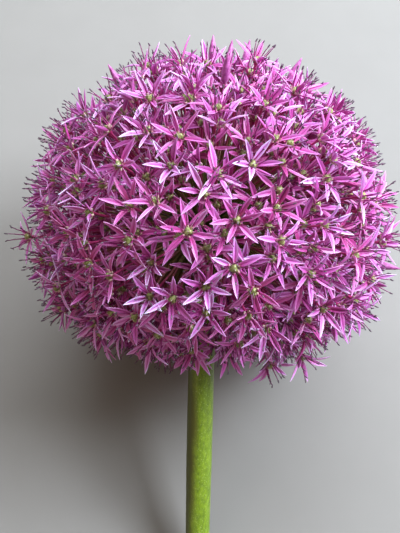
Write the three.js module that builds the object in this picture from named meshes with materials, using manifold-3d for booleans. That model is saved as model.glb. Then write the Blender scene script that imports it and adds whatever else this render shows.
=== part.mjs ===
// Cut flower head of a large ornamental onion (allium), lying on its side on a flat surface.
//
// Millimetres, +Z up. The surface is z = 0, and the origin is its point straight below the head's middle.
// The top of the head faces +Y. The stem runs towards -Y and down, until the rim of its cut end touches.
//
//   scape   the leafless flower stem, from its cut end up to the head
//   umbel   the swollen top of the stem, and the stalks that grow from it all round, each with one floret

import * as THREE from "three";
import { mergeVertices } from "three/addons/utils/BufferGeometryUtils.js";
import Module from "manifold-3d";

const wasm = await Module();
wasm.setup();

const DEGREE = Math.PI / 180;
const GOLDEN_ANGLE = Math.PI * (3 - Math.sqrt(5));

// Head: a ball that is flatter towards the stem, with no florets close round the stem.
const HEAD_HEIGHT = 91; // middle of the head above the surface, so that the lowest florets are pressed flat
const FLORET_REACH = 91; // middle of the head to the base of an outer floret
const UNDERSIDE_START = 100 * DEGREE; // angle from the top of the head where it starts to flatten
const UNDERSIDE_END = 155 * DEGREE;
const UNDERSIDE_SHARE = 0.17; // share of the reach that is lost by then
const LAST_FLORET = 149 * DEGREE; // no floret grows closer to the stem than this
const FLORETS = 150;
const LAYERS = 5; // neighbours sit at different depths, so their tepals pass over each other
const LAYER_STEP = 2.6;
const DIRECTION_JITTER = 3.2 * DEGREE;
const REST_CLEARING = 12.5 * DEGREE; // no other floret grows this close to the one straight below the head
const PRESSED_BELOW = 5.5; // a floret whose base would be lower than this lies flat on the surface

// Floret: a star of six boat-shaped tepals, with a groove along the face of each and a keel along its back.
const TEPALS = 6;
const TEPAL_LENGTH = 19;
const TEPAL_WIDTH = 6.8;
const TEPAL_WIDEST = 0.44; // share of the length where a tepal is widest
const EDGE_RISE = 0.9; // how far a tepal's edges stand above its groove
const CUP_LEAST = 3 * DEGREE; // how far the tepals rise above the plane across the stalk
const CUP_MOST = 15 * DEGREE;
const SIZE_LEAST = 0.92;
const SIZE_MOST = 1.04;
const NOTCH_RADIUS = 2; // where two tepals meet
const NOTCH_RISE = 0.2;
const FLORET_DEPTH = 1.5; // from the middle of the star back to the end of its stalk
const STALK_RADIUS = 0.85;
const STALK_CORNERS = 3;

// Bud: the six tepals still closed to a spindle. Only some florets near the top of the head.
const BUD_SHARE = 0.18;
const BUD_ZONE = 75 * DEGREE;
const BUD_LENGTH = 17;
const BUD_RADIUS = 2.9;
const BUD_FOOT = 0.6; // share of that radius where the bud meets its stalk
const BUD_WIDEST = 0.33; // share of the length where a bud is widest
const BUD_SUNK = 10; // a bud's base stays this much closer to the middle of the head

// Stem and its swollen top.
const STEM_LENGTH = 185; // middle of the head to the middle of the cut end
const STEM_RADIUS = 6.3;
const STEM_ASIDE = 4.9; // its top is this far to the side of the middle of the head
const STEM_LEAN = 4.7; // from there to its cut end the stem goes this much further to that side
const STEM_BOW = 0.5; // and halfway along, it stands this far off the straight line between
const STEM_SIDES = 20;
const STEM_STEPS = 8;
const TOP_RADIUS = 9;
const TOP_BASE = 6.6; // middle of the head down to the flat where the stem begins
const TOP_SIDES = 14;
const TOP_STEPS = 6;
const JOINT_GAP = 0.3;
const ROOT_RADIUS = 5.5; // the stalks start this far from the middle of the head, inside the swollen top
const ROOT_LOWEST = -1; // and those of the underside start no lower, so that they pass beside the stem

const SEED = 7;

// The stem's slope follows from the head's height and from the cut end's rim, which touches the surface.
function stemSlope() {
  let slope = 0;
  for (let i = 0; i < 30; i++)
    slope = Math.asin((HEAD_HEIGHT - STEM_RADIUS * Math.cos(slope)) / STEM_LENGTH);
  return slope;
}

// From the upright flower's own axes (x to the side, y up its stem, z to the front) to the lying one's.
const LAY_DOWN = new THREE.Matrix4()
  .makeTranslation(0, 0, HEAD_HEIGHT)
  .multiply(new THREE.Matrix4().makeRotationX(stemSlope()));

let state = SEED;
function random() {
  state = (state * 48271) % 2147483647;
  return state / 2147483647;
}

function smooth(from, to, value) {
  const t = Math.min(1, Math.max(0, (value - from) / (to - from)));
  return t * t * (3 - 2 * t);
}

// A closed three.js geometry as a solid, and back. Faces whose corners were drawn together are dropped.
function solidOf(geometry) {
  const bare = geometry.clone();
  bare.deleteAttribute("normal");
  bare.deleteAttribute("uv");
  const merged = mergeVertices(bare, 1e-4);
  const corners = merged.index.array;
  const kept = [];
  for (let i = 0; i < corners.length; i += 3) {
    const [a, b, c] = corners.slice(i, i + 3);
    if (a !== b && b !== c && c !== a) kept.push(a, b, c);
  }
  return new wasm.Manifold(
    new wasm.Mesh({
      numProp: 3,
      vertProperties: merged.attributes.position.array,
      triVerts: new Uint32Array(kept),
    }),
  );
}

function geometryOf(solid) {
  const mesh = solid.getMesh();
  return new THREE.BufferGeometry()
    .setAttribute("position", new THREE.BufferAttribute(new Float32Array(mesh.vertProperties), 3))
    .setIndex(new THREE.BufferAttribute(new Uint32Array(mesh.triVerts), 1));
}

// Axes at the given point whose Y is the given direction, turned about it by spin.
function facing(point, direction, spin) {
  const up = new THREE.Vector3(0, 1, 0);
  const turn = new THREE.Quaternion().setFromUnitVectors(up, direction);
  turn.multiply(new THREE.Quaternion().setFromAxisAngle(up, spin));
  return new THREE.Matrix4().compose(point, turn, new THREE.Vector3(1, 1, 1));
}

// Directions from the middle of the head, in the upright flower's axes: the one that points straight down
// once the flower lies, then a spiral from the top of the head to the stem.
function floretDirections() {
  const down = new THREE.Vector3(0, 0, -1).transformDirection(LAY_DOWN.clone().invert());
  const directions = [down];
  for (let i = 0; i < FLORETS; i++) {
    const share = (i + 0.5) / FLORETS;
    const even = Math.acos(1 - share * (1 - Math.cos(LAST_FLORET)));
    const polar = even + (random() - 0.5) * DIRECTION_JITTER;
    const aside = ((random() - 0.5) * DIRECTION_JITTER) / Math.max(0.2, Math.sin(polar));
    const azimuth = i * GOLDEN_ANGLE + aside;
    const direction = new THREE.Vector3(
      Math.sin(polar) * Math.sin(azimuth),
      Math.cos(polar),
      Math.sin(polar) * Math.cos(azimuth),
    );
    if (direction.angleTo(down) > REST_CLEARING) directions.push(direction);
  }
  return directions;
}

function stalkRoot(direction) {
  const y = Math.max(ROOT_LOWEST, direction.y * ROOT_RADIUS);
  const aside = Math.sqrt(ROOT_RADIUS * ROOT_RADIUS - y * y) / Math.hypot(direction.x, direction.z);
  return new THREE.Vector3(direction.x * aside - STEM_ASIDE, y, direction.z * aside);
}

// Where each floret sits: its base, the root of its stalk, the way it faces, and how it opens.
function floretPlaces() {
  return floretDirections().map((direction, i) => {
    const polar = Math.acos(direction.y);
    const flattened = 1 - UNDERSIDE_SHARE * smooth(UNDERSIDE_START, UNDERSIDE_END, polar);
    const bud = random() < BUD_SHARE && polar < BUD_ZONE;
    const reach = FLORET_REACH * flattened - (i % LAYERS) * LAYER_STEP - (bud ? BUD_SUNK : 0);
    const place = {
      base: direction.clone().multiplyScalar(reach).applyMatrix4(LAY_DOWN),
      root: stalkRoot(direction).applyMatrix4(LAY_DOWN),
      normal: direction.clone().transformDirection(LAY_DOWN),
      spin: (random() * 360 * DEGREE) / TEPALS,
      cup: CUP_LEAST + random() * (CUP_MOST - CUP_LEAST),
      size: SIZE_LEAST + random() * (SIZE_MOST - SIZE_LEAST),
      bud,
    };
    if (place.base.z < PRESSED_BELOW) {
      place.base.z = 0;
      place.normal.set(0, 0, -1);
    }
    return place;
  });
}

// What grows on a stalk, as one closed lathe round its own axis, with its stalk back to the root.
// Each ring tells where a column's corner goes. The stalk's columns are gathered into three corners.
// Nothing reaches below the surface: what would is pressed flat there.
function grownOnStalk({ base, root, normal, spin }, columns, rings) {
  const middle = () => ({ turn: 0, radius: 0, height: -FLORET_DEPTH });
  const stalk = (column) => ({
    turn: ((Math.floor((column * STALK_CORNERS) / columns) + 0.5) * 360 * DEGREE) / STALK_CORNERS,
    radius: STALK_RADIUS,
    height: -FLORET_DEPTH,
  });
  const all = [middle, stalk, stalk, ...rings];
  const lathe = new THREE.LatheGeometry(all.map((_, i) => new THREE.Vector2(1, i)), columns);
  const position = lathe.getAttribute("position");
  for (let i = 0; i < position.count; i++) {
    const { turn, radius, height } = all[i % all.length](Math.floor(i / all.length) % columns);
    position.setXYZ(i, radius * Math.sin(turn), height, radius * Math.cos(turn));
  }
  lathe.applyMatrix4(facing(base, normal, spin));
  const toRoot = root.clone().sub(base);
  const point = new THREE.Vector3();
  for (let i = 0; i < position.count; i++) {
    const ring = i % all.length;
    point.fromBufferAttribute(position, i);
    if (ring < 2) point.add(toRoot);
    else point.z = Math.max(point.z, ring === 2 ? FLORET_DEPTH : 0);
    position.setXYZ(i, point.x, point.y, point.z);
  }
  return solidOf(lathe);
}

// An open floret: a rim drawn out into six tepals round its middle. Four columns of the rim make a tepal:
// its tip, one edge, the notch before the next tepal, and that one's edge.
function openFloret(place) {
  const length = TEPAL_LENGTH * place.size;
  const widest = length * TEPAL_WIDEST;
  const edgeTurn = Math.atan2(TEPAL_WIDTH / 2, widest);
  const edge = {
    radius: Math.hypot(widest, TEPAL_WIDTH / 2),
    height: widest * Math.tan(place.cup) + EDGE_RISE,
  };
  const corners = [
    { turn: 0, radius: length, height: length * Math.tan(place.cup) },
    { ...edge, turn: edgeTurn },
    { turn: (180 * DEGREE) / TEPALS, radius: NOTCH_RADIUS, height: NOTCH_RISE },
    { ...edge, turn: (360 * DEGREE) / TEPALS - edgeTurn },
  ];
  const rim = (column) => {
    const corner = corners[column % corners.length];
    const tepal = Math.floor(column / corners.length);
    return { ...corner, turn: corner.turn + (tepal * 360 * DEGREE) / TEPALS };
  };
  const centre = () => ({ turn: 0, radius: 0, height: 0 });
  return grownOnStalk(place, corners.length * TEPALS, [rim, centre]);
}

// A closed bud: a six-sided spindle.
function closedBud(place) {
  const ring = (radius, height) => (column) => ({
    turn: (360 * DEGREE * column) / TEPALS,
    radius,
    height: height * place.size,
  });
  return grownOnStalk(place, TEPALS, [
    ring(BUD_RADIUS * BUD_FOOT, 0),
    ring(BUD_RADIUS, BUD_LENGTH * BUD_WIDEST),
    ring(0, BUD_LENGTH),
  ]);
}

// The swollen top of the stem: a ball cut flat where the stem meets it.
function swollenTop() {
  const start = -Math.asin(TOP_BASE / TOP_RADIUS);
  const profile = [new THREE.Vector2(0, -TOP_BASE)];
  for (let i = 0; i < TOP_STEPS; i++) {
    const angle = start + ((90 * DEGREE - start) * i) / TOP_STEPS;
    profile.push(new THREE.Vector2(TOP_RADIUS * Math.cos(angle), TOP_RADIUS * Math.sin(angle)));
  }
  profile.push(new THREE.Vector2(0, TOP_RADIUS));
  const ball = new THREE.LatheGeometry(profile, TOP_SIDES).translate(-STEM_ASIDE, 0, 0);
  return solidOf(ball.applyMatrix4(LAY_DOWN));
}

function umbelGeometry() {
  const grown = floretPlaces().map((place) => (place.bud ? closedBud(place) : openFloret(place)));
  return geometryOf(wasm.Manifold.union([swollenTop(), ...grown]));
}

// The stem: round, of even thickness, leaning a little to one side, with a square cut end.
function stemGeometry() {
  const end = -STEM_LENGTH;
  const top = -TOP_BASE - JOINT_GAP;
  const profile = [new THREE.Vector2(0, end)];
  for (let i = 0; i <= STEM_STEPS; i++)
    profile.push(new THREE.Vector2(STEM_RADIUS, end + ((top - end) * i) / STEM_STEPS));
  profile.push(new THREE.Vector2(0, top));
  const stem = new THREE.LatheGeometry(profile, STEM_SIDES);
  const position = stem.getAttribute("position");
  for (let i = 0; i < position.count; i++) {
    const down = position.getY(i) / end;
    const aside = STEM_ASIDE + STEM_LEAN * down + STEM_BOW * 4 * down * (1 - down);
    position.setX(i, position.getX(i) - aside);
  }
  return geometryOf(solidOf(stem.applyMatrix4(LAY_DOWN)));
}

const flower = new THREE.Group();

const scape = new THREE.Mesh(
  stemGeometry(),
  new THREE.MeshStandardMaterial({ color: 0x7d9a34, roughness: 0.5, metalness: 0 }),
);
scape.name = "scape";
flower.add(scape);

const umbel = new THREE.Mesh(
  umbelGeometry(),
  new THREE.MeshStandardMaterial({ color: 0xb45cb4, roughness: 0.55, metalness: 0 }),
);
umbel.name = "umbel";
flower.add(umbel);

export default flower;
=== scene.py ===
"""Cut flower head of a large ornamental onion, lying on its side on a pale floor.

Metres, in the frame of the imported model: +Z up, the floor at z = 0, the head's middle above the origin.
The top of the head faces +Y, and the stem runs down to the floor towards -Y.
Places on the flower are in the upright flower's own axes: x to the side, y up its stem, z to its front.
"""

import math
import random

import bmesh
import bpy
import numpy as np
from mathutils import Matrix, Vector


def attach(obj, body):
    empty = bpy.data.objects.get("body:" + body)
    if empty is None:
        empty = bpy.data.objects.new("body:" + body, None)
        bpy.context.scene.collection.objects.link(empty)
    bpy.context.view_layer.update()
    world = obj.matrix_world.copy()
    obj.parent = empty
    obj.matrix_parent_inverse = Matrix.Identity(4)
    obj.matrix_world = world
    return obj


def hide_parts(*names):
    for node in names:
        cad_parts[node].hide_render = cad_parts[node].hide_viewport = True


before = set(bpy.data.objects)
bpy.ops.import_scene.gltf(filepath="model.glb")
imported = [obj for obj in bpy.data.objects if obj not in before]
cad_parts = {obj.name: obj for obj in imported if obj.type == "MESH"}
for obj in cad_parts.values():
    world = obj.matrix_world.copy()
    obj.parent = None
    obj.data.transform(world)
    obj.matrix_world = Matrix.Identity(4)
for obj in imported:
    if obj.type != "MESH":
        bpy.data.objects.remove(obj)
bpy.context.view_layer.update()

MM = 0.001
DEGREE = math.pi / 180
GOLDEN_ANGLE = math.pi * (3 - math.sqrt(5))
SEED = 7

# How the flower lies: the middle of its head this high, the rim of the stem's cut end on the floor.
HEAD_HEIGHT = 91 * MM
STEM_LENGTH = 185 * MM
STEM_RADIUS = 6.3 * MM
STEM_ASIDE = 4.9 * MM  # how far towards -x its middle is, beside the middle of the head
STEM_LEAN = 4.7 * MM  # how much further aside its cut end is
STEM_BOW = 0.5 * MM
STEM_SWELL = 0.08  # how much thicker it is under the head than at its cut end
SWELL_START = 0.1  # share of the stem's length, from its cut end
SWELL_END = 0.42
STEM_RIPPLE = 0.01  # share of its radius by which the stem is thinner here and there
RIPPLE_STEP = 1.3  # from one ring to the next
STEM_SIDES = 40
STEM_STEPS = 14
RIM_BEVEL = 0.25 * MM
RIND = 0.4 * MM
PITH_SUNK = 0.2 * MM
HOLLOW_WIDTH = 3 * MM
HOLLOW_DEPTH = 0.35 * MM
TOP_RADIUS = 9 * MM
TOP_BASE = 6.6 * MM  # how far below its middle the swollen top is flat

# The head: a ball that is flatter towards the stem, with no florets close round the stem.
FLORETS = 820
REACH = 89.5 * MM  # from the middle of the head to an outer floret
REACH_JITTER = 1 * MM
DEPTH = 26 * MM  # how much less far the deepest florets reach
DEPTH_POWER = 1.5  # over 1, so that more florets are near the outside
DEPTH_SHADE = 0.5  # painted shade: how much darker and redder the deepest florets are painted, for the shade of the florets above them
DEPTH_STEP = 1 / math.sqrt(5)  # along the spiral, so that neighbours always differ in depth
DEPTH_JITTER = 0.15
UNDERSIDE_START = 108 * DEGREE  # from the top of the head, where it starts to be flatter
UNDERSIDE_END = 155 * DEGREE
UNDERSIDE_SHARE = 0.23  # share of its reach that the head has lost there
LOPSIDED = 0.028  # share of its reach that the head gains towards -x and loses towards +x
LAST_FLORET = 156 * DEGREE  # from the top of the head
PLACE_JITTER = 8 * DEGREE
LEAST_ASIDE = 0.2  # so that the jitter doesn't turn the florets of the crown too far
FACING_JITTER = 29 * DEGREE
TO_FRONT = Vector((0, 0, 0.5))  # added to an outlying floret's direction for where it faces
STEM_CLEARANCE = 22 * MM  # from the stem's middle to a floret's
ROOT_RADIUS = 7.5 * MM  # from the middle of the swollen top to where the stalks leave it
ROOT_LOWEST = -1 * MM  # and the lowest that they may leave it
BUD_SUNK = 4 * MM
BUD_ROOM_SUNK = 9 * MM

# The pieces that the head is joined into, each down to this angle from its top.
ZONES = {
    "florets_crown": 46 * DEGREE,
    "florets_shoulder": 67 * DEGREE,
    "florets_upper_side": 86 * DEGREE,
    "florets_lower_side": 104 * DEGREE,
    "florets_skirt": 123 * DEGREE,
    "florets_underside": 180 * DEGREE,
}

# Florets below this height that face down have their stamens folded flat and lean less.
FOLDED_BELOW = 13 * MM
FACES_DOWN = -0.3  # a floret faces down where its direction's upward part is less
FOLDED_JITTER = 0.3 * FACING_JITTER
# The floor flattens what would be below it, softly over this distance.
PRESS_SOFTNESS = 0.8 * MM
UNPRESSED = 20  # so many times that distance above the floor nothing changes

# One floret.
VARIANTS = 10
OPENINGS = (0, 24, 6, 14, 34)  # degrees that the tepals still stand up, in turn
FOLDED_VARIANTS = 2
TEPALS = 6
TEPAL_LENGTH = 14.7 * MM
TEPAL_WIDTH = 2.7 * MM
TEPAL_THICKNESS = 0.28 * MM
TEPAL_STATIONS = (0, 0.17, 0.4, 0.64, 0.86, 1)
TEPAL_WIDTHS = (0.42, 0.64, 1, 0.88, 0.44, 0.04)
TEPAL_ROWS = len(TEPAL_STATIONS) - 1
TEPAL_FOOT = 0.8 * MM
FLANK_RISE = 0.15
EDGE_RISE = 0.26
STAMEN_RING = 1.95 * MM
STAMEN_FOOT = 0.6 * MM
FILAMENT_LENGTH = 10.6 * MM
ANTHER_LENGTH = 2.3 * MM
LOBES = 3
OVARY_RADIUS = 2 * MM
STYLE_LENGTH = 5 * MM
STALK_LENGTH = 80 * MM
BUD_LENGTH = 15 * MM
BUD_RADIUS = 2.1 * MM

# How the parts of a floret vary: angles in degrees, sizes and lengths as shares.
TURN_JITTER = 6
TEPAL_PITCH = 6
INNER_PITCH = 9  # how much steeper an inner tepal is than an outer one
PITCH_RANGE = (-12, 14)
ROLL_JITTER = 18
TEPAL_SIZES = (0.92, 1.04)
INNER_SMALLER = 0.04
STAMEN_JITTER = 9
STAMEN_LEAN = 7
STAMEN_SPREAD = 36
SPREAD_POWER = 1.7  # over 1, so that most stamens stand up
FOLDED_LEANS = (74, 86)
FILAMENT_SIZES = (0.86, 1.08)
ANTHER_TILTS = (-20, 60)
FOLDED_TILT = 80
STYLE_JITTER = 7

# Florets that are still closed: direction from the middle of the head, and how far round it the open
# florets are at least BUD_ROOM_SUNK deep, so that the bud shows.
BUDS = (
    ((-0.02, 0.99, 0.12), 14 * DEGREE),
    ((0.08, 0.99, 0.02), 10 * DEGREE),
    ((0.17, 0.98, 0.10), 14 * DEGREE),
    ((0.04, 0.78, 0.62), 7.5 * DEGREE),
    ((0.44, 0.89, 0.12), 9 * DEGREE),
    ((-0.55, 0.83, 0.12), 9 * DEGREE),
    ((0.97, -0.21, 0.12), 7.5 * DEGREE),
    ((0.35, 0.85, -0.40), 7.5 * DEGREE),
    ((-0.30, 0.80, -0.52), 7.5 * DEGREE),
    ((0.62, 0.70, -0.36), 7.5 * DEGREE),
)

# Florets that stand out of the head: direction and how far. They face outward and to the front.
OUTLYING = (
    ((-0.98, -0.04, 0.12), 3.5 * MM),
    ((0.29, -0.94, 0.15), 12 * MM),
    ((0.36, -0.90, 0.05), 9 * MM),
    ((0.54, -0.81, 0.24), 11 * MM),
    ((0.78, -0.45, -0.42), 4 * MM),
    ((-0.42, 0.55, -0.72), 4 * MM),
)

FLOOR_RADIUS = 3
FLOOR_THICKNESS = 0.02

# The camera: its distance, what it aims at as a place beside the middle of the head, and its lens.
CAMERA_DISTANCE = 475 * MM
AIM_ASIDE = -7.9 * MM
AIM_DOWN = 19.2 * MM
LENS = 60.9
SENSOR = 36


def slope():
    """How far the stem slopes, from the head's height and the cut end's rim on the floor."""
    angle = 0.0
    for _ in range(30):
        angle = math.asin((HEAD_HEIGHT - STEM_RADIUS * math.cos(angle)) / STEM_LENGTH)
    return angle


# From the upright flower's axes to the lying flower's.
LYING = Matrix.Translation((0, 0, HEAD_HEIGHT)) @ Matrix.Rotation(slope(), 4, "X")
# From a piece modelled along +Z to the upright flower's y.
ALONG_STEM = Matrix.Rotation(-90 * DEGREE, 4, "X")


def smooth(start, end, value):
    """From 0 at the start to 1 at the end, without a kink at either."""
    t = min(1.0, max(0.0, (value - start) / (end - start)))
    return t * t * (3 - 2 * t)


def round_axis(degrees):
    """The direction at this angle round a piece's axis."""
    return Vector((math.cos(degrees * DEGREE), math.sin(degrees * DEGREE)))


# ---------------------------------------------------------------- modelling by hand


def only(*objects):
    """Selects these objects and nothing else, and makes the first one active."""
    bpy.ops.object.select_all(action="DESELECT")
    for obj in objects:
        obj.select_set(True)
    bpy.context.view_layer.objects.active = objects[0]


def named(name):
    """Names the active object and its mesh."""
    obj = bpy.context.object
    obj.name = obj.data.name = name
    return obj


def settle(obj):
    """Writes the object's place, turn and size into its mesh."""
    only(obj)
    bpy.ops.object.transform_apply(location=True, rotation=True, scale=True)


def edit(obj):
    only(obj)
    bpy.ops.object.mode_set(mode="EDIT")
    bpy.ops.mesh.select_mode(type="VERT")


def leave():
    bpy.ops.object.mode_set(mode="OBJECT")


def pick(test):
    """Selects the vertices whose place passes the test, with the faces between them."""
    bpy.ops.mesh.select_all(action="DESELECT")
    mesh = bmesh.from_edit_mesh(bpy.context.edit_object.data)
    for vertex in mesh.verts:
        vertex.select_set(test(vertex.co))
    mesh.select_flush(True)
    bmesh.update_edit_mesh(bpy.context.edit_object.data)


def pick_all():
    bpy.ops.mesh.select_all(action="SELECT")


def shift(x=0.0, y=0.0, z=0.0):
    bpy.ops.transform.translate(value=(x, y, z))


def stretch(x, y, z, centre=(0, 0, 0)):
    bpy.ops.transform.resize(value=(x, y, z), center_override=centre)


def dress(obj, material, angle=60):
    """Shades the piece smooth up to an angle and gives it its material."""
    only(obj)
    bpy.ops.object.shade_smooth_by_angle(angle=math.radians(angle))
    obj.data.materials.append(material)
    return obj


def apply_modifier(obj, kind, **settings):
    only(obj)
    modifier = obj.modifiers.new(kind.title(), kind)
    for key, value in settings.items():
        setattr(modifier, key, value)
    bpy.ops.object.modifier_apply(modifier=modifier.name)


def grow_tube(name, sides, rings):
    """A closed tube, extruded from a disc ring by ring. Each ring is (x, y, z, radius)."""
    x, y, z, radius = rings[0]
    bpy.ops.mesh.primitive_circle_add(
        vertices=sides, radius=radius, fill_type="NGON", location=(x, y, z)
    )
    tube = named(name)
    settle(tube)
    edit(tube)
    pick_all()
    for (x0, y0, z0, r0), (x1, y1, z1, r1) in zip(rings, rings[1:]):
        bpy.ops.mesh.extrude_region_move(
            TRANSFORM_OT_translate={"value": (x1 - x0, y1 - y0, z1 - z0)}
        )
        stretch(r1 / r0, r1 / r0, 1, (x1, y1, z1))
    pick_all()
    bpy.ops.mesh.normals_make_consistent(inside=False)
    leave()
    return tube


def mark(obj, name, value):
    """Gives each point of the mesh a number for the materials to read: one for all, or one by place."""
    attributes = obj.data.attributes
    attribute = attributes.get(name) or attributes.new(name, "FLOAT", "POINT")
    if callable(value):
        numbers = [value(vertex.co) for vertex in obj.data.vertices]
    else:
        numbers = [value] * len(obj.data.vertices)
    attribute.data.foreach_set("value", np.array(numbers, dtype=np.float32))


def copy_of(template, matrix, **marks):
    """A copy with a mesh of its own, moved there and marked."""
    made = template.copy()
    made.data = template.data.copy()
    made.data.transform(matrix)
    for name, value in marks.items():
        mark(made, name, value)
    bpy.context.collection.objects.link(made)
    return made


def joined(name, parts):
    only(*parts)
    bpy.ops.object.join()
    return named(name)


# ---------------------------------------------------------------- parts of a floret


def tepal(name, skin, arch, tip, sway):
    """A narrow boat-shaped tepal along +X, its face up, with a groove down its middle.

    Its middle arches up by arch, and its tip ends higher by tip and to the side by sway.
    """
    bpy.ops.mesh.primitive_grid_add(
        x_subdivisions=TEPAL_ROWS, y_subdivisions=4, size=1, location=(0.5, 0, 0)
    )
    blade = named(name)
    settle(blade)
    edit(blade)
    pick(lambda co: 0.2 < abs(co.y) < 0.3)
    shift(z=FLANK_RISE)
    pick(lambda co: abs(co.y) > 0.4)
    shift(z=EDGE_RISE)
    for row, (station, width) in enumerate(zip(TEPAL_STATIONS, TEPAL_WIDTHS)):
        along = row / TEPAL_ROWS
        pick(lambda co: abs(co.x - along) < 0.01)
        stretch(1, TEPAL_WIDTH * width, TEPAL_WIDTH * width, (along, 0, 0))
        rise = arch * math.sin(math.pi * station) + tip * station**2
        shift(station - along, sway * station**2, rise)
    pick_all()
    stretch(TEPAL_LENGTH, 1, 1)
    pick(lambda co: co.x > 0.99 * TEPAL_LENGTH)
    bpy.ops.mesh.merge(type="CENTER")
    leave()
    apply_modifier(blade, "SOLIDIFY", thickness=TEPAL_THICKNESS, offset=-1)
    return dress(blade, skin)


def filament(name, skin, bend):
    """A stamen's thread along +Z, broad at its foot and thin at its top, which leans out by bend."""
    rings = (
        (0, 0, 0, 0.7 * MM),
        (0.02 * bend, 0, 0.12 * FILAMENT_LENGTH, 0.6 * MM),
        (0.1 * bend, 0, 0.3 * FILAMENT_LENGTH, 0.31 * MM),
        (0.45 * bend, 0, 0.7 * FILAMENT_LENGTH, 0.24 * MM),
        (bend, 0, FILAMENT_LENGTH, 0.18 * MM),
    )
    thread = dress(grow_tube(name, 4, rings), skin, 100)
    mark(thread, "tone", lambda co: co.z / FILAMENT_LENGTH)
    thread["bend"] = bend
    return thread


def anther(skin):
    """A ripe anther: a small oblong sac, pinched round its middle."""
    bpy.ops.mesh.primitive_uv_sphere_add(segments=5, ring_count=4, radius=ANTHER_LENGTH / 2)
    sac = named("anther")
    edit(sac)
    pick_all()
    stretch(0.4, 0.4, 1)
    pick(lambda co: abs(co.z) < 0.1 * ANTHER_LENGTH)
    stretch(0.8, 0.8, 1)
    leave()
    return dress(sac, skin, 80)


def ovary(skin):
    """The ovary: a ball parted into lobes by furrows that meet on top."""
    bpy.ops.mesh.primitive_uv_sphere_add(
        segments=12, ring_count=6, radius=OVARY_RADIUS, location=(0, 0, 0.75 * OVARY_RADIUS)
    )
    pod = named("ovary")
    settle(pod)
    edit(pod)
    for furrow in range(LOBES):
        side = round_axis(furrow * 360 / LOBES)
        pick(lambda co: co.xy.length > 0.1 * MM and co.xy.normalized().dot(side) > 0.98)
        shift(*(-0.36 * OVARY_RADIUS * side))
    pick(lambda co: co.xy.length < 0.1 * MM and co.z > OVARY_RADIUS)
    shift(z=-0.25 * OVARY_RADIUS)
    leave()
    return dress(pod, skin, 80)


def style(skin):
    """The style, a short thread from the middle of the ovary."""
    rings = (
        (0, 0, 1.2 * MM, 0.22 * MM),
        (0.2 * MM, 0, 0.6 * STYLE_LENGTH, 0.16 * MM),
        (0.5 * MM, 0, STYLE_LENGTH, 0.14 * MM),
    )
    return dress(grow_tube("style", 4, rings), skin, 100)


def stalk(skin):
    """A floret's stalk along +Z, slightly bowed, flared where the floret sits on it."""
    bow = 1.8 * MM
    rings = (
        (0, 0, 0, 0.6 * MM),
        (0.75 * bow, 0, 0.3 * STALK_LENGTH, 0.5 * MM),
        (bow, 0, 0.62 * STALK_LENGTH, 0.48 * MM),
        (0.1 * bow, 0, 0.97 * STALK_LENGTH, 0.6 * MM),
        (0, 0, STALK_LENGTH + 0.2 * MM, 1.2 * MM),
    )
    tube = dress(grow_tube("stalk", 5, rings), skin, 80)
    mark(tube, "tone", lambda co: co.z / STALK_LENGTH)
    return tube


def bud(skin):
    """A closed bud along +Z: six tepals shut to a spindle, with a furrow between each two."""
    profile = ((0, 0.55), (0.08, 0.85), (0.3, 1), (0.52, 0.9), (0.76, 0.55), (0.94, 0.2), (1, 0.04))
    rings = [(0, 0, BUD_LENGTH * along, BUD_RADIUS * share) for along, share in profile]
    spindle = grow_tube("bud", 2 * TEPALS, rings)
    edit(spindle)
    for furrow in range(TEPALS):
        side = round_axis(furrow * 360 / TEPALS)
        for along, share in profile[1:-1]:
            height = BUD_LENGTH * along
            pick(lambda co: abs(co.z - height) < 0.1 * MM and co.xy.normalized().dot(side) > 0.99)
            shift(*(-0.2 * BUD_RADIUS * share * side))
    leave()
    return dress(spindle, skin, 100)


def tepal_in_place(parts, turn, inner, opening, rng):
    """One of a floret's tepals. An inner one sits higher, stands steeper and is smaller."""
    pitch = (TEPAL_PITCH + INNER_PITCH * inner + rng.uniform(*PITCH_RANGE)) * DEGREE + opening
    roll = rng.uniform(-ROLL_JITTER, ROLL_JITTER) * DEGREE
    place = Matrix.Rotation(turn, 4, "Z")
    place @= Matrix.Translation((TEPAL_FOOT, 0, (0.1 + 0.35 * inner) * MM))
    place @= Matrix.Rotation(-pitch, 4, "Y") @ Matrix.Rotation(roll, 4, "X")
    place @= Matrix.Scale(rng.uniform(*TEPAL_SIZES) - INNER_SMALLER * inner, 4)
    return copy_of(rng.choice(parts["tepals"]), place, tone=rng.random())


def stamen_in_place(parts, turn, folded, rng):
    """One of a floret's stamens: a filament, and the anther that hangs on its top."""
    if folded:
        lean = rng.uniform(*FOLDED_LEANS)
    else:
        lean = STAMEN_LEAN + STAMEN_SPREAD * rng.random() ** SPREAD_POWER
    length = rng.uniform(*FILAMENT_SIZES)
    thread = rng.choice(parts["filaments"])
    foot = Matrix.Rotation(turn + rng.uniform(-STAMEN_JITTER, STAMEN_JITTER) * DEGREE, 4, "Z")
    foot @= Matrix.Translation((STAMEN_RING, 0, STAMEN_FOOT)) @ Matrix.Rotation(lean * DEGREE, 4, "Y")
    grown = copy_of(thread, foot @ Matrix.Scale(length, 4, (0, 0, 1)))
    top = foot @ Vector((thread["bend"], 0, FILAMENT_LENGTH * length))
    tilt = (FOLDED_TILT if folded else rng.uniform(*ANTHER_TILTS)) * DEGREE
    hang = Matrix.Translation(top) @ Matrix.Rotation(turn, 4, "Z") @ Matrix.Rotation(tilt, 4, "Y")
    return [grown, copy_of(parts["anther"], hang, tone=rng.random())]


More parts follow.
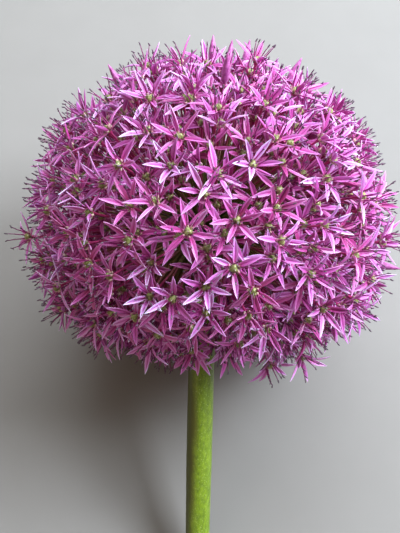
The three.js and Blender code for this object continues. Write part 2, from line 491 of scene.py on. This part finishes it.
def open_floret(name, parts, rng, opening=0.0, folded=False):
    """An open floret, its axis along +Z, from copies of its parts.

    opening is how far its tepals still stand up. A folded one has its stamens laid flat and no style.
    """
    made = []
    for i in range(TEPALS):
        turn = (i * 360 / TEPALS + rng.uniform(-TURN_JITTER, TURN_JITTER)) * DEGREE
        made.append(tepal_in_place(parts, turn, i % 2, opening, rng))
        made += stamen_in_place(parts, turn, folded, rng)
    made.append(copy_of(parts["ovary"], Matrix.Rotation(rng.uniform(0, 2), 4, "Z"), tone=rng.random()))
    if not folded:
        tilt = Matrix.Rotation(rng.uniform(-STYLE_JITTER, STYLE_JITTER) * DEGREE, 4, "X")
        made.append(copy_of(parts["style"], tilt, tone=0.5))
    return joined(name, made)


# ---------------------------------------------------------------- materials


def new_material(name):
    made = bpy.data.materials.new(name)
    made.use_nodes = True
    nodes = made.node_tree.nodes
    return made, nodes, made.node_tree.links, nodes["Principled BSDF"]


def feed(links, socket, value):
    """Links a socket to the value, or sets it where the value is a number or a colour."""
    if isinstance(value, bpy.types.NodeSocket):
        links.new(value, socket)
    elif isinstance(value, tuple):
        socket.default_value = (*value, 1)
    else:
        socket.default_value = value


def ramp(nodes, links, factor, *stops):
    """A ramp through the stops. Each is a position with a colour or a shade of grey."""
    node = nodes.new("ShaderNodeValToRGB")
    elements = node.color_ramp.elements
    elements.remove(elements[1])
    for i, (position, color) in enumerate(stops):
        element = elements[0] if i == 0 else elements.new(position)
        element.position = position
        element.color = (*color, 1) if isinstance(color, tuple) else (color, color, color, 1)
    links.new(factor, node.inputs[0])
    return node.outputs[0]


def mix(nodes, links, factor, first, second, blend="MIX"):
    """Mixes two colours. In the node they are sockets 6 and 7, the factor is 0 and the output is 2."""
    node = nodes.new("ShaderNodeMix")
    node.data_type = "RGBA"
    node.blend_type = blend
    for index, value in ((0, factor), (6, first), (7, second)):
        feed(links, node.inputs[index], value)
    return node.outputs[2]


def arithmetic(nodes, links, operation, *values):
    node = nodes.new("ShaderNodeMath")
    node.operation = operation
    for socket, value in zip(node.inputs, values):
        feed(links, socket, value)
    return node.outputs[0]


def marked(nodes, name):
    """What mark wrote into the mesh."""
    node = nodes.new("ShaderNodeAttribute")
    node.attribute_name = name
    return node.outputs["Fac"]


def place_on(nodes, links, source, scale=(1, 1, 1), turn=0.0):
    """The piece's own coordinates ("Object") or its UV map ("UVMap"), turned about x and scaled."""
    node = nodes.new("ShaderNodeMapping")
    if source == "Object":
        links.new(nodes.new("ShaderNodeTexCoord").outputs["Object"], node.inputs["Vector"])
    else:
        uv = nodes.new("ShaderNodeUVMap")
        uv.uv_map = source
        links.new(uv.outputs[0], node.inputs["Vector"])
    node.inputs["Rotation"].default_value = (turn, 0, 0)
    node.inputs["Scale"].default_value = scale
    return node.outputs[0]


def noise(nodes, links, vector, scale, detail=2.0):
    node = nodes.new("ShaderNodeTexNoise")
    node.inputs["Scale"].default_value = scale
    node.inputs["Detail"].default_value = detail
    links.new(vector, node.inputs["Vector"])
    return node.outputs["Fac"]


def bump(nodes, links, skin, height, strength, distance):
    node = nodes.new("ShaderNodeBump")
    node.inputs["Strength"].default_value = strength
    node.inputs["Distance"].default_value = distance
    links.new(height, node.inputs["Height"])
    links.new(node.outputs[0], skin.inputs["Normal"])


def gloss(skin, roughness, sheen=0.0, subsurface=0.0, coat=0.0):
    skin.inputs["Roughness"].default_value = roughness
    skin.inputs["Sheen Weight"].default_value = sheen
    skin.inputs["Sheen Roughness"].default_value = 0.4
    skin.inputs["Sheen Tint"].default_value = (0.96, 0.84, 1, 1)
    skin.inputs["Subsurface Weight"].default_value = subsurface
    skin.inputs["Subsurface Radius"].default_value = (1, 0.4, 0.8)
    skin.inputs["Subsurface Scale"].default_value = 0.8 * MM
    skin.inputs["Coat Weight"].default_value = coat
    skin.inputs["Coat Roughness"].default_value = 0.3


def tepal_skin():
    """Crimson at the foot, orchid along the blade, lilac at tip and margins, with a dark midline. The
    pale margins are partly the tepal's own paler edge and partly painted sheen highlight; the per-floret
    mark adds painted shade, darker and redder on deeper florets.
    """
    made, nodes, links, skin = new_material("tepal_skin")
    uv = nodes.new("ShaderNodeSeparateXYZ")
    links.new(place_on(nodes, links, "UVMap"), uv.inputs[0])
    along, across = uv.outputs[0], uv.outputs[1]
    blade = ramp(
        nodes,
        links,
        along,
        (0.0, (0.30, 0.006, 0.07)),
        (0.10, (0.50, 0.014, 0.20)),
        (0.28, (0.66, 0.065, 0.45)),
        (0.70, (0.70, 0.135, 0.62)),
        (1.0, (0.81, 0.415, 0.88)),
    )
    offset = arithmetic(nodes, links, "SUBTRACT", across, 0.5)
    from_middle = arithmetic(nodes, links, "ABSOLUTE", offset)
    # Pale margins: partly the tepal's own paler edge, partly a painted sheen highlight along its edges.
    margin = ramp(nodes, links, from_middle, (0.08, 0.0), (0.5, 0.55))
    pale_share = ramp(nodes, links, marked(nodes, "tone"), (0.0, 0.25), (1.0, 1.0))
    pale_margin_and_sheen = arithmetic(nodes, links, "MULTIPLY", margin, pale_share)
    with_pale_margin_and_sheen = mix(nodes, links, pale_margin_and_sheen, blade, (0.79, 0.46, 0.91))
    midline = ramp(nodes, links, from_middle, (0.0, 0.6), (0.05, 0.4), (0.12, 0.0))
    lined = mix(nodes, links, midline, with_pale_margin_and_sheen, (0.26, 0.012, 0.20))
    veins = noise(nodes, links, place_on(nodes, links, "UVMap", (2.5, 26, 1)), 1.0, 3.0)
    vein_shade = ramp(nodes, links, veins, (0.3, 0.82), (0.7, 1.12))
    veined = mix(nodes, links, 1.0, lined, vein_shade, "MULTIPLY")
    tone = ramp(
        nodes,
        links,
        marked(nodes, "tone"),
        (0.0, (0.81, 0.60, 0.71)),
        (0.6, (1.0, 1.0, 1.0)),
        (1.0, (1.08, 1.5, 1.21)),
    )
    toned = mix(nodes, links, 1.0, veined, tone, "MULTIPLY")
    # Painted shade by depth: the mark is low on sunk florets, which this ramp paints darker and redder,
    # and high on outer florets, which it paints paler; the rest of it differs at random.
    tint = ramp(
        nodes,
        links,
        marked(nodes, "tint"),
        (0.0, (0.70, 0.34, 0.44)),
        (0.5, (0.95, 0.78, 0.79)),
        (0.75, (1.03, 1.18, 1.08)),
        (1.0, (1.06, 1.6, 1.24)),
    )
    links.new(mix(nodes, links, 1.0, toned, tint, "MULTIPLY"), skin.inputs["Base Color"])
    bump(nodes, links, skin, veins, 0.25, 0.2 * MM)
    gloss(skin, 0.42, sheen=0.2, subsurface=0.25, coat=0.2)
    skin.inputs["Specular IOR Level"].default_value = 0.6
    return made


def mottled_skin(name, low, high, scale, roughness, subsurface=0.0, sheen=0.0):
    """A skin that wanders between two colours."""
    made, nodes, links, skin = new_material(name)
    grain = noise(nodes, links, place_on(nodes, links, "Object"), scale)
    links.new(ramp(nodes, links, grain, (0.35, low), (0.65, high)), skin.inputs["Base Color"])
    bump(nodes, links, skin, grain, 0.3, 0.1 * MM)
    gloss(skin, roughness, sheen=sheen, subsurface=subsurface)
    return made


def graded_skin(name, wander, roughness, *stops):
    """A skin that changes along the piece, from its foot to its top, sooner or later by the wander."""
    made, nodes, links, skin = new_material(name)
    grain = noise(nodes, links, place_on(nodes, links, "Object"), 60)
    centred = arithmetic(nodes, links, "SUBTRACT", grain, 0.5)
    strayed = arithmetic(nodes, links, "MULTIPLY", centred, wander)
    along = arithmetic(nodes, links, "ADD", marked(nodes, "tone"), strayed)
    links.new(ramp(nodes, links, along, *stops), skin.inputs["Base Color"])
    gloss(skin, roughness, subsurface=0.1)
    return made


def stem_skin():
    """Smooth green skin with fine lengthwise streaks and pale specks, with painted shade, a dark
    bronze-olive, down the side that is turned away from the window light.
    """
    made, nodes, links, skin = new_material("stem_skin")
    place = place_on(nodes, links, "Object")
    lengthwise = place_on(nodes, links, "Object", (900, 22, 900), turn=-slope())
    streaks = noise(nodes, links, lengthwise, 1.0, 3.0)
    green = ramp(
        nodes,
        links,
        streaks,
        (0.3, (0.11, 0.18, 0.010)),
        (0.55, (0.17, 0.27, 0.010)),
        (0.75, (0.25, 0.36, 0.020)),
    )
    specks = ramp(nodes, links, noise(nodes, links, place, 1500, 1.0), (0.6, 0.0), (0.7, 0.4))
    specked = mix(nodes, links, specks, green, (0.44, 0.55, 0.20))
    # Painted shade: the stem's -x side, away from the window light, is painted dark bronze-olive, with a
    # wandering edge.
    wander = noise(nodes, links, place_on(nodes, links, "Object", (60, 12, 60)), 1.0)
    around = arithmetic(nodes, links, "ADD", marked(nodes, "tone"), wander)
    painted_side_shade = ramp(nodes, links, around, (0.6, 0.9), (0.9, 0.0))
    links.new(mix(nodes, links, painted_side_shade, specked, (0.078, 0.082, 0.006)), skin.inputs["Base Color"])
    bump(nodes, links, skin, streaks, 0.3, 0.2 * MM)
    gloss(skin, 0.38, subsurface=0.1, coat=0.15)
    return made


# ---------------------------------------------------------------- the flower


def stem_middle(down):
    """How far to the side the stem's middle is, at a share of its length below the head's middle."""
    return -(STEM_ASIDE + STEM_LEAN * down + STEM_BOW * 4 * down * (1 - down))


def stem(skin, pith):
    """The leafless stem, extruded ring by ring from its cut end. The pith there is slightly sunken."""
    rings = []
    for i in range(STEM_STEPS + 1):
        down = 1 - i / STEM_STEPS * (1 - TOP_BASE / STEM_LENGTH)
        swell = STEM_SWELL * smooth(SWELL_START, SWELL_END, 1 - down)
        radius = STEM_RADIUS * (1 + swell - STEM_RIPPLE * math.sin(RIPPLE_STEP * i) ** 2)
        rings.append((stem_middle(down), 0, -STEM_LENGTH * down, radius))
    made = grow_tube("stem", STEM_SIDES, rings)
    # tone runs across the stem, 0 on its -x side and 1 on its +x side; stem_skin paints shade on the -x
    # side by it.
    mark(made, "tone", lambda co: 0.5 + (co.x - stem_middle(-co.z / STEM_LENGTH)) / (2 * STEM_RADIUS))
    apply_modifier(made, "BEVEL", width=RIM_BEVEL, segments=2, limit_method="ANGLE")
    dress(made, skin)
    made.data.materials.append(pith)
    edit(made)
    pick(lambda co: co.z < -STEM_LENGTH + 0.05 * MM)
    bpy.ops.mesh.inset(thickness=RIND)
    bpy.context.object.active_material_index = 1
    bpy.ops.object.material_slot_assign()
    shift(z=PITH_SUNK)
    bpy.ops.mesh.inset(thickness=HOLLOW_WIDTH)
    shift(z=HOLLOW_DEPTH)
    leave()
    made.matrix_world = LYING @ ALONG_STEM
    settle(made)
    return made


def swollen_top(skin):
    """The swollen top of the stem, flat where the stem meets it."""
    bpy.ops.mesh.primitive_uv_sphere_add(segments=24, ring_count=14, radius=TOP_RADIUS)
    top = named("swollen_top")
    edit(top)
    pick(lambda co: co.z < -TOP_BASE)
    stretch(1, 1, 0, (0, 0, -TOP_BASE))
    leave()
    top.matrix_world = LYING @ Matrix.Translation((-STEM_ASIDE, 0, 0)) @ ALONG_STEM
    settle(top)
    return dress(top, skin)


def directions(rng):
    """Where the florets are, seen from the middle of the head: a spiral from its top to the stem."""
    found = []
    for i in range(FLORETS):
        share = (i + 0.5) / FLORETS
        polar = math.acos(1 - share * (1 - math.cos(LAST_FLORET)))
        polar = abs(polar + rng.uniform(-0.5, 0.5) * PLACE_JITTER)
        aside = math.sin(polar)
        turn = i * GOLDEN_ANGLE + rng.uniform(-0.5, 0.5) * PLACE_JITTER / max(LEAST_ASIDE, aside)
        found.append(Vector((aside * math.sin(turn), math.cos(polar), aside * math.cos(turn))))
    return found


def claim(placed, direction):
    """Moves the nearest floret to exactly this direction, and tells which one it is."""
    wanted = Vector(direction).normalized()
    nearest = max(range(FLORETS), key=lambda i: placed[i].dot(wanted))
    placed[nearest] = wanted
    return nearest


def beside_bud(direction):
    """Whether an open floret there would hide a bud."""
    return any(direction.angle(Vector(bud_direction)) < room for bud_direction, room in BUDS)


def clear_of_stem(place):
    """Moves a floret's place sideways where it would touch the stem."""
    aside = Vector((place.x - stem_middle(-place.y / STEM_LENGTH), 0, place.z))
    if place.y > 0 or aside.length > STEM_CLEARANCE:
        return place
    return place + aside.normalized() * (STEM_CLEARANCE - aside.length)


def stalk_root(direction):
    """Where a stalk leaves the swollen top. Those of the underside pass beside the stem."""
    height = max(ROOT_LOWEST, direction.y * ROOT_RADIUS)
    aside = math.sqrt(ROOT_RADIUS**2 - height**2) / math.hypot(direction.x, direction.z)
    return Vector((direction.x * aside - STEM_ASIDE, height, direction.z * aside))


def facing(point, direction, turn=0.0):
    """From a piece along +Z at the origin to one at the point, along the direction."""
    turned = direction.to_track_quat("Z", "Y").to_matrix().to_4x4()
    return Matrix.Translation(point) @ turned @ Matrix.Rotation(turn, 4, "Z")


def tilted(direction, most, rng):
    """The direction, leaning by up to that much to a random side."""
    aside = direction.orthogonal().normalized()
    aside.rotate(Matrix.Rotation(rng.uniform(0, 2 * math.pi), 3, direction))
    return (direction + aside * math.tan(rng.uniform(0, most))).normalized()


def reach_towards(direction, sunk):
    """How far from the middle of the head a floret is that is sunk by this much."""
    flattened = 1 - UNDERSIDE_SHARE * smooth(UNDERSIDE_START, UNDERSIDE_END, math.acos(direction.y))
    return (REACH - sunk) * flattened * (1 - LOPSIDED * direction.x)


def grow_head(florets, folded, closed, stalk_piece, rng):
    """The florets on their stalks, joined zone by zone from the crown to the underside."""
    placed = directions(rng)
    buds = {claim(placed, direction): BUD_SUNK for direction, _ in BUDS}
    outlying = {claim(placed, direction): -beyond for direction, beyond in OUTLYING}
    zones = {name: [] for name in ZONES}
    for i, direction in enumerate(placed):
        depth = ((i * DEPTH_STEP + rng.uniform(0, DEPTH_JITTER)) % 1) ** DEPTH_POWER
        sunk = DEPTH * depth + rng.uniform(-1, 1) * REACH_JITTER
        if beside_bud(direction):
            sunk = max(sunk, BUD_ROOM_SUNK)
        sunk = {**buds, **outlying}.get(i, sunk)
        base = LYING @ clear_of_stem(direction * reach_towards(direction, sunk))
        root = LYING @ stalk_root(direction)
        outward = LYING.to_3x3() @ direction
        if i in buds:
            template, normal = closed, (base - root).normalized()
        elif i in outlying:
            template = rng.choice(florets[::2])
            normal = LYING.to_3x3() @ (direction + TO_FRONT).normalized()
        elif base.z < FOLDED_BELOW and outward.z < FACES_DOWN:
            template, normal = rng.choice(folded), tilted(outward, FOLDED_JITTER, rng)
        else:
            template, normal = rng.choice(florets), tilted(outward, FACING_JITTER, rng)
        zone = next(name for name, limit in ZONES.items() if math.acos(direction.y) <= limit)
        along = base - root
        grown = Matrix.Scale(along.length / STALK_LENGTH, 4, (0, 0, 1))
        stalk_place = facing(root, along.normalized(), rng.uniform(0, 2 * math.pi)) @ grown
        zones[zone].append(copy_of(stalk_piece, stalk_place, tint=0.5))
        floret_place = facing(base, normal, rng.uniform(0, 2 * math.pi))
        # Partly random per floret, partly painted shade: lower for florets sunk deeper into the head.
        tint = (1 - DEPTH_SHADE) * rng.random() + DEPTH_SHADE * (1 - depth)
        zones[zone].append(copy_of(template, floret_place, tint=tint))
    return [joined(name, parts) for name, parts in zones.items()]


def press(piece):
    """Flattens softly what would be below the floor."""
    points = np.empty(3 * len(piece.data.vertices), dtype=np.float32)
    piece.data.vertices.foreach_get("co", points)
    height = points[2::3] / PRESS_SOFTNESS
    pressed = np.log1p(np.exp(np.minimum(height, UNPRESSED)))
    points[2::3] = PRESS_SOFTNESS * np.where(height > UNPRESSED, height, pressed)
    piece.data.vertices.foreach_set("co", points)
    piece.data.update()


def make_head():
    """Models each part of a floret once, puts the florets together and grows the head from them."""
    rng = random.Random(SEED)
    petal = tepal_skin()
    sac = mottled_skin("anther_skin", (0.07, 0.045, 0.075), (0.20, 0.14, 0.18), 1100, 0.75)
    pod = mottled_skin("ovary_skin", (0.15, 0.18, 0.045), (0.40, 0.41, 0.17), 900, 0.3, 0.2)
    pale = mottled_skin("style_skin", (0.50, 0.30, 0.42), (0.70, 0.55, 0.58), 900, 0.45, 0.2)
    shut = mottled_skin("bud_skin", (0.34, 0.045, 0.25), (0.60, 0.17, 0.50), 500, 0.4, 0.2, 0.2)
    green = mottled_skin("swollen_top_skin", (0.10, 0.15, 0.02), (0.2, 0.27, 0.05), 160, 0.5)
    thread = graded_skin(
        "filament_skin",
        0.1,
        0.4,
        (0.0, (0.84, 0.74, 0.56)),
        (0.12, (0.80, 0.56, 0.52)),
        (0.22, (0.28, 0.014, 0.15)),
        (1.0, (0.19, 0.018, 0.14)),
    )
    blushing = graded_skin(
        "stalk_skin",
        0.7,
        0.45,
        (0.15, (0.18, 0.22, 0.05)),
        (0.5, (0.26, 0.17, 0.07)),
        (0.8, (0.50, 0.045, 0.19)),
    )
    parts = {
        "tepals": [
            tepal("tepal_straight", petal, 0.3 * MM, 0.2 * MM, 0.3 * MM),
            tepal("tepal_reflexed", petal, 0.9 * MM, -1.8 * MM, -0.6 * MM),
            tepal("tepal_cupped", petal, -0.5 * MM, 1.4 * MM, 0.5 * MM),
            tepal("tepal_swept", petal, 0.5 * MM, -0.6 * MM, 1.5 * MM),
            tepal("tepal_swept_back", petal, 0.1 * MM, 0.5 * MM, -1.4 * MM),
        ],
        "filaments": [
            filament("filament_straight", thread, 0.3 * MM),
            filament("filament_bent", thread, 1.6 * MM),
            filament("filament_upright", thread, -1.1 * MM),
        ],
        "anther": anther(sac),
        "ovary": ovary(pod),
        "style": style(pale),
    }
    florets = [
        open_floret(f"floret_{i}", parts, rng, opening=OPENINGS[i % len(OPENINGS)] * DEGREE)
        for i in range(VARIANTS)
    ]
    folded = [open_floret(f"folded_{i}", parts, rng, folded=True) for i in range(FOLDED_VARIANTS)]
    closed = bud(shut)
    mark(closed, "tone", 0.5)
    stalk_piece = stalk(blushing)
    zones = grow_head(florets, folded, closed, stalk_piece, rng)
    patterns = [*florets, *folded, closed, stalk_piece, *parts["tepals"], *parts["filaments"]]
    for pattern in [*patterns, parts["anther"], parts["ovary"], parts["style"]]:
        bpy.data.objects.remove(pattern)
    for zone in zones:
        press(zone)
    return [*zones, swollen_top(green)]


# ---------------------------------------------------------------- floor, light and camera


def floor():
    """A wide pale disc."""
    bpy.ops.mesh.primitive_circle_add(vertices=96, radius=FLOOR_RADIUS, fill_type="NGON")
    made = named("floor")
    edit(made)
    pick_all()
    bpy.ops.mesh.extrude_region_move(TRANSFORM_OT_translate={"value": (0, 0, -FLOOR_THICKNESS)})
    pick_all()
    bpy.ops.mesh.normals_make_consistent(inside=False)
    leave()
    dress(made, mottled_skin("floor_paint", (0.238, 0.231, 0.221), (0.244, 0.237, 0.227), 30, 0.8), 30)


def soft_light(name, place, size, power, color):
    """A square area light that faces the head."""
    data = bpy.data.lights.new(name, "AREA")
    data.size = size
    data.energy = power
    data.color = color
    lamp = bpy.data.objects.new(name, data)
    lamp.location = place
    towards = Vector((0, 0, HEAD_HEIGHT)) - Vector(place)
    lamp.rotation_euler = towards.to_track_quat("-Z", "Y").to_euler()
    bpy.context.collection.objects.link(lamp)


def daylight():
    world = bpy.data.worlds.new("pale_room")
    world.use_nodes = True
    background = world.node_tree.nodes["Background"]
    background.inputs["Color"].default_value = (1, 0.89, 0.74, 1)
    background.inputs["Strength"].default_value = 0.25
    bpy.context.scene.world = world
    soft_light("window", (0.85, 0.15, 0.90), 0.6, 30, (0.85, 0.92, 1))
    soft_light("ceiling", (0.15, 0.90, 0.95), 1.4, 33, (0.88, 0.94, 1))
    soft_light("fill", (-0.75, -0.75, 0.6), 0.8, 1.4, (1, 0.66, 0.34))


def camera():
    """Square to the stem, which slopes down from the head, so it looks down on the flower."""
    up = Vector((0, math.cos(slope()), math.sin(slope())))
    towards = Vector((0, -math.sin(slope()), math.cos(slope())))
    aim = Vector((AIM_ASIDE, 0, HEAD_HEIGHT)) - AIM_DOWN * up
    data = bpy.data.cameras.new("camera")
    data.lens = LENS
    data.sensor_width = SENSOR
    made = bpy.data.objects.new("camera", data)
    turn = Matrix((Vector((1, 0, 0)), up, towards)).transposed()
    made.matrix_world = Matrix.Translation(aim + CAMERA_DISTANCE * towards) @ turn.to_4x4()
    bpy.context.collection.objects.link(made)
    bpy.context.scene.camera = made


bpy.context.scene.view_settings.view_transform = "Standard"
camera()
daylight()
floor()
for head_piece in make_head():
    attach(head_piece, "root")
    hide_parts("umbel")
pith_skin = mottled_skin("pith_skin", (0.34, 0.40, 0.16), (0.66, 0.68, 0.42), 1400, 0.6, 0.3)
stem_piece = stem(stem_skin(), pith_skin)
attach(stem_piece, "root")
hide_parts("scape")
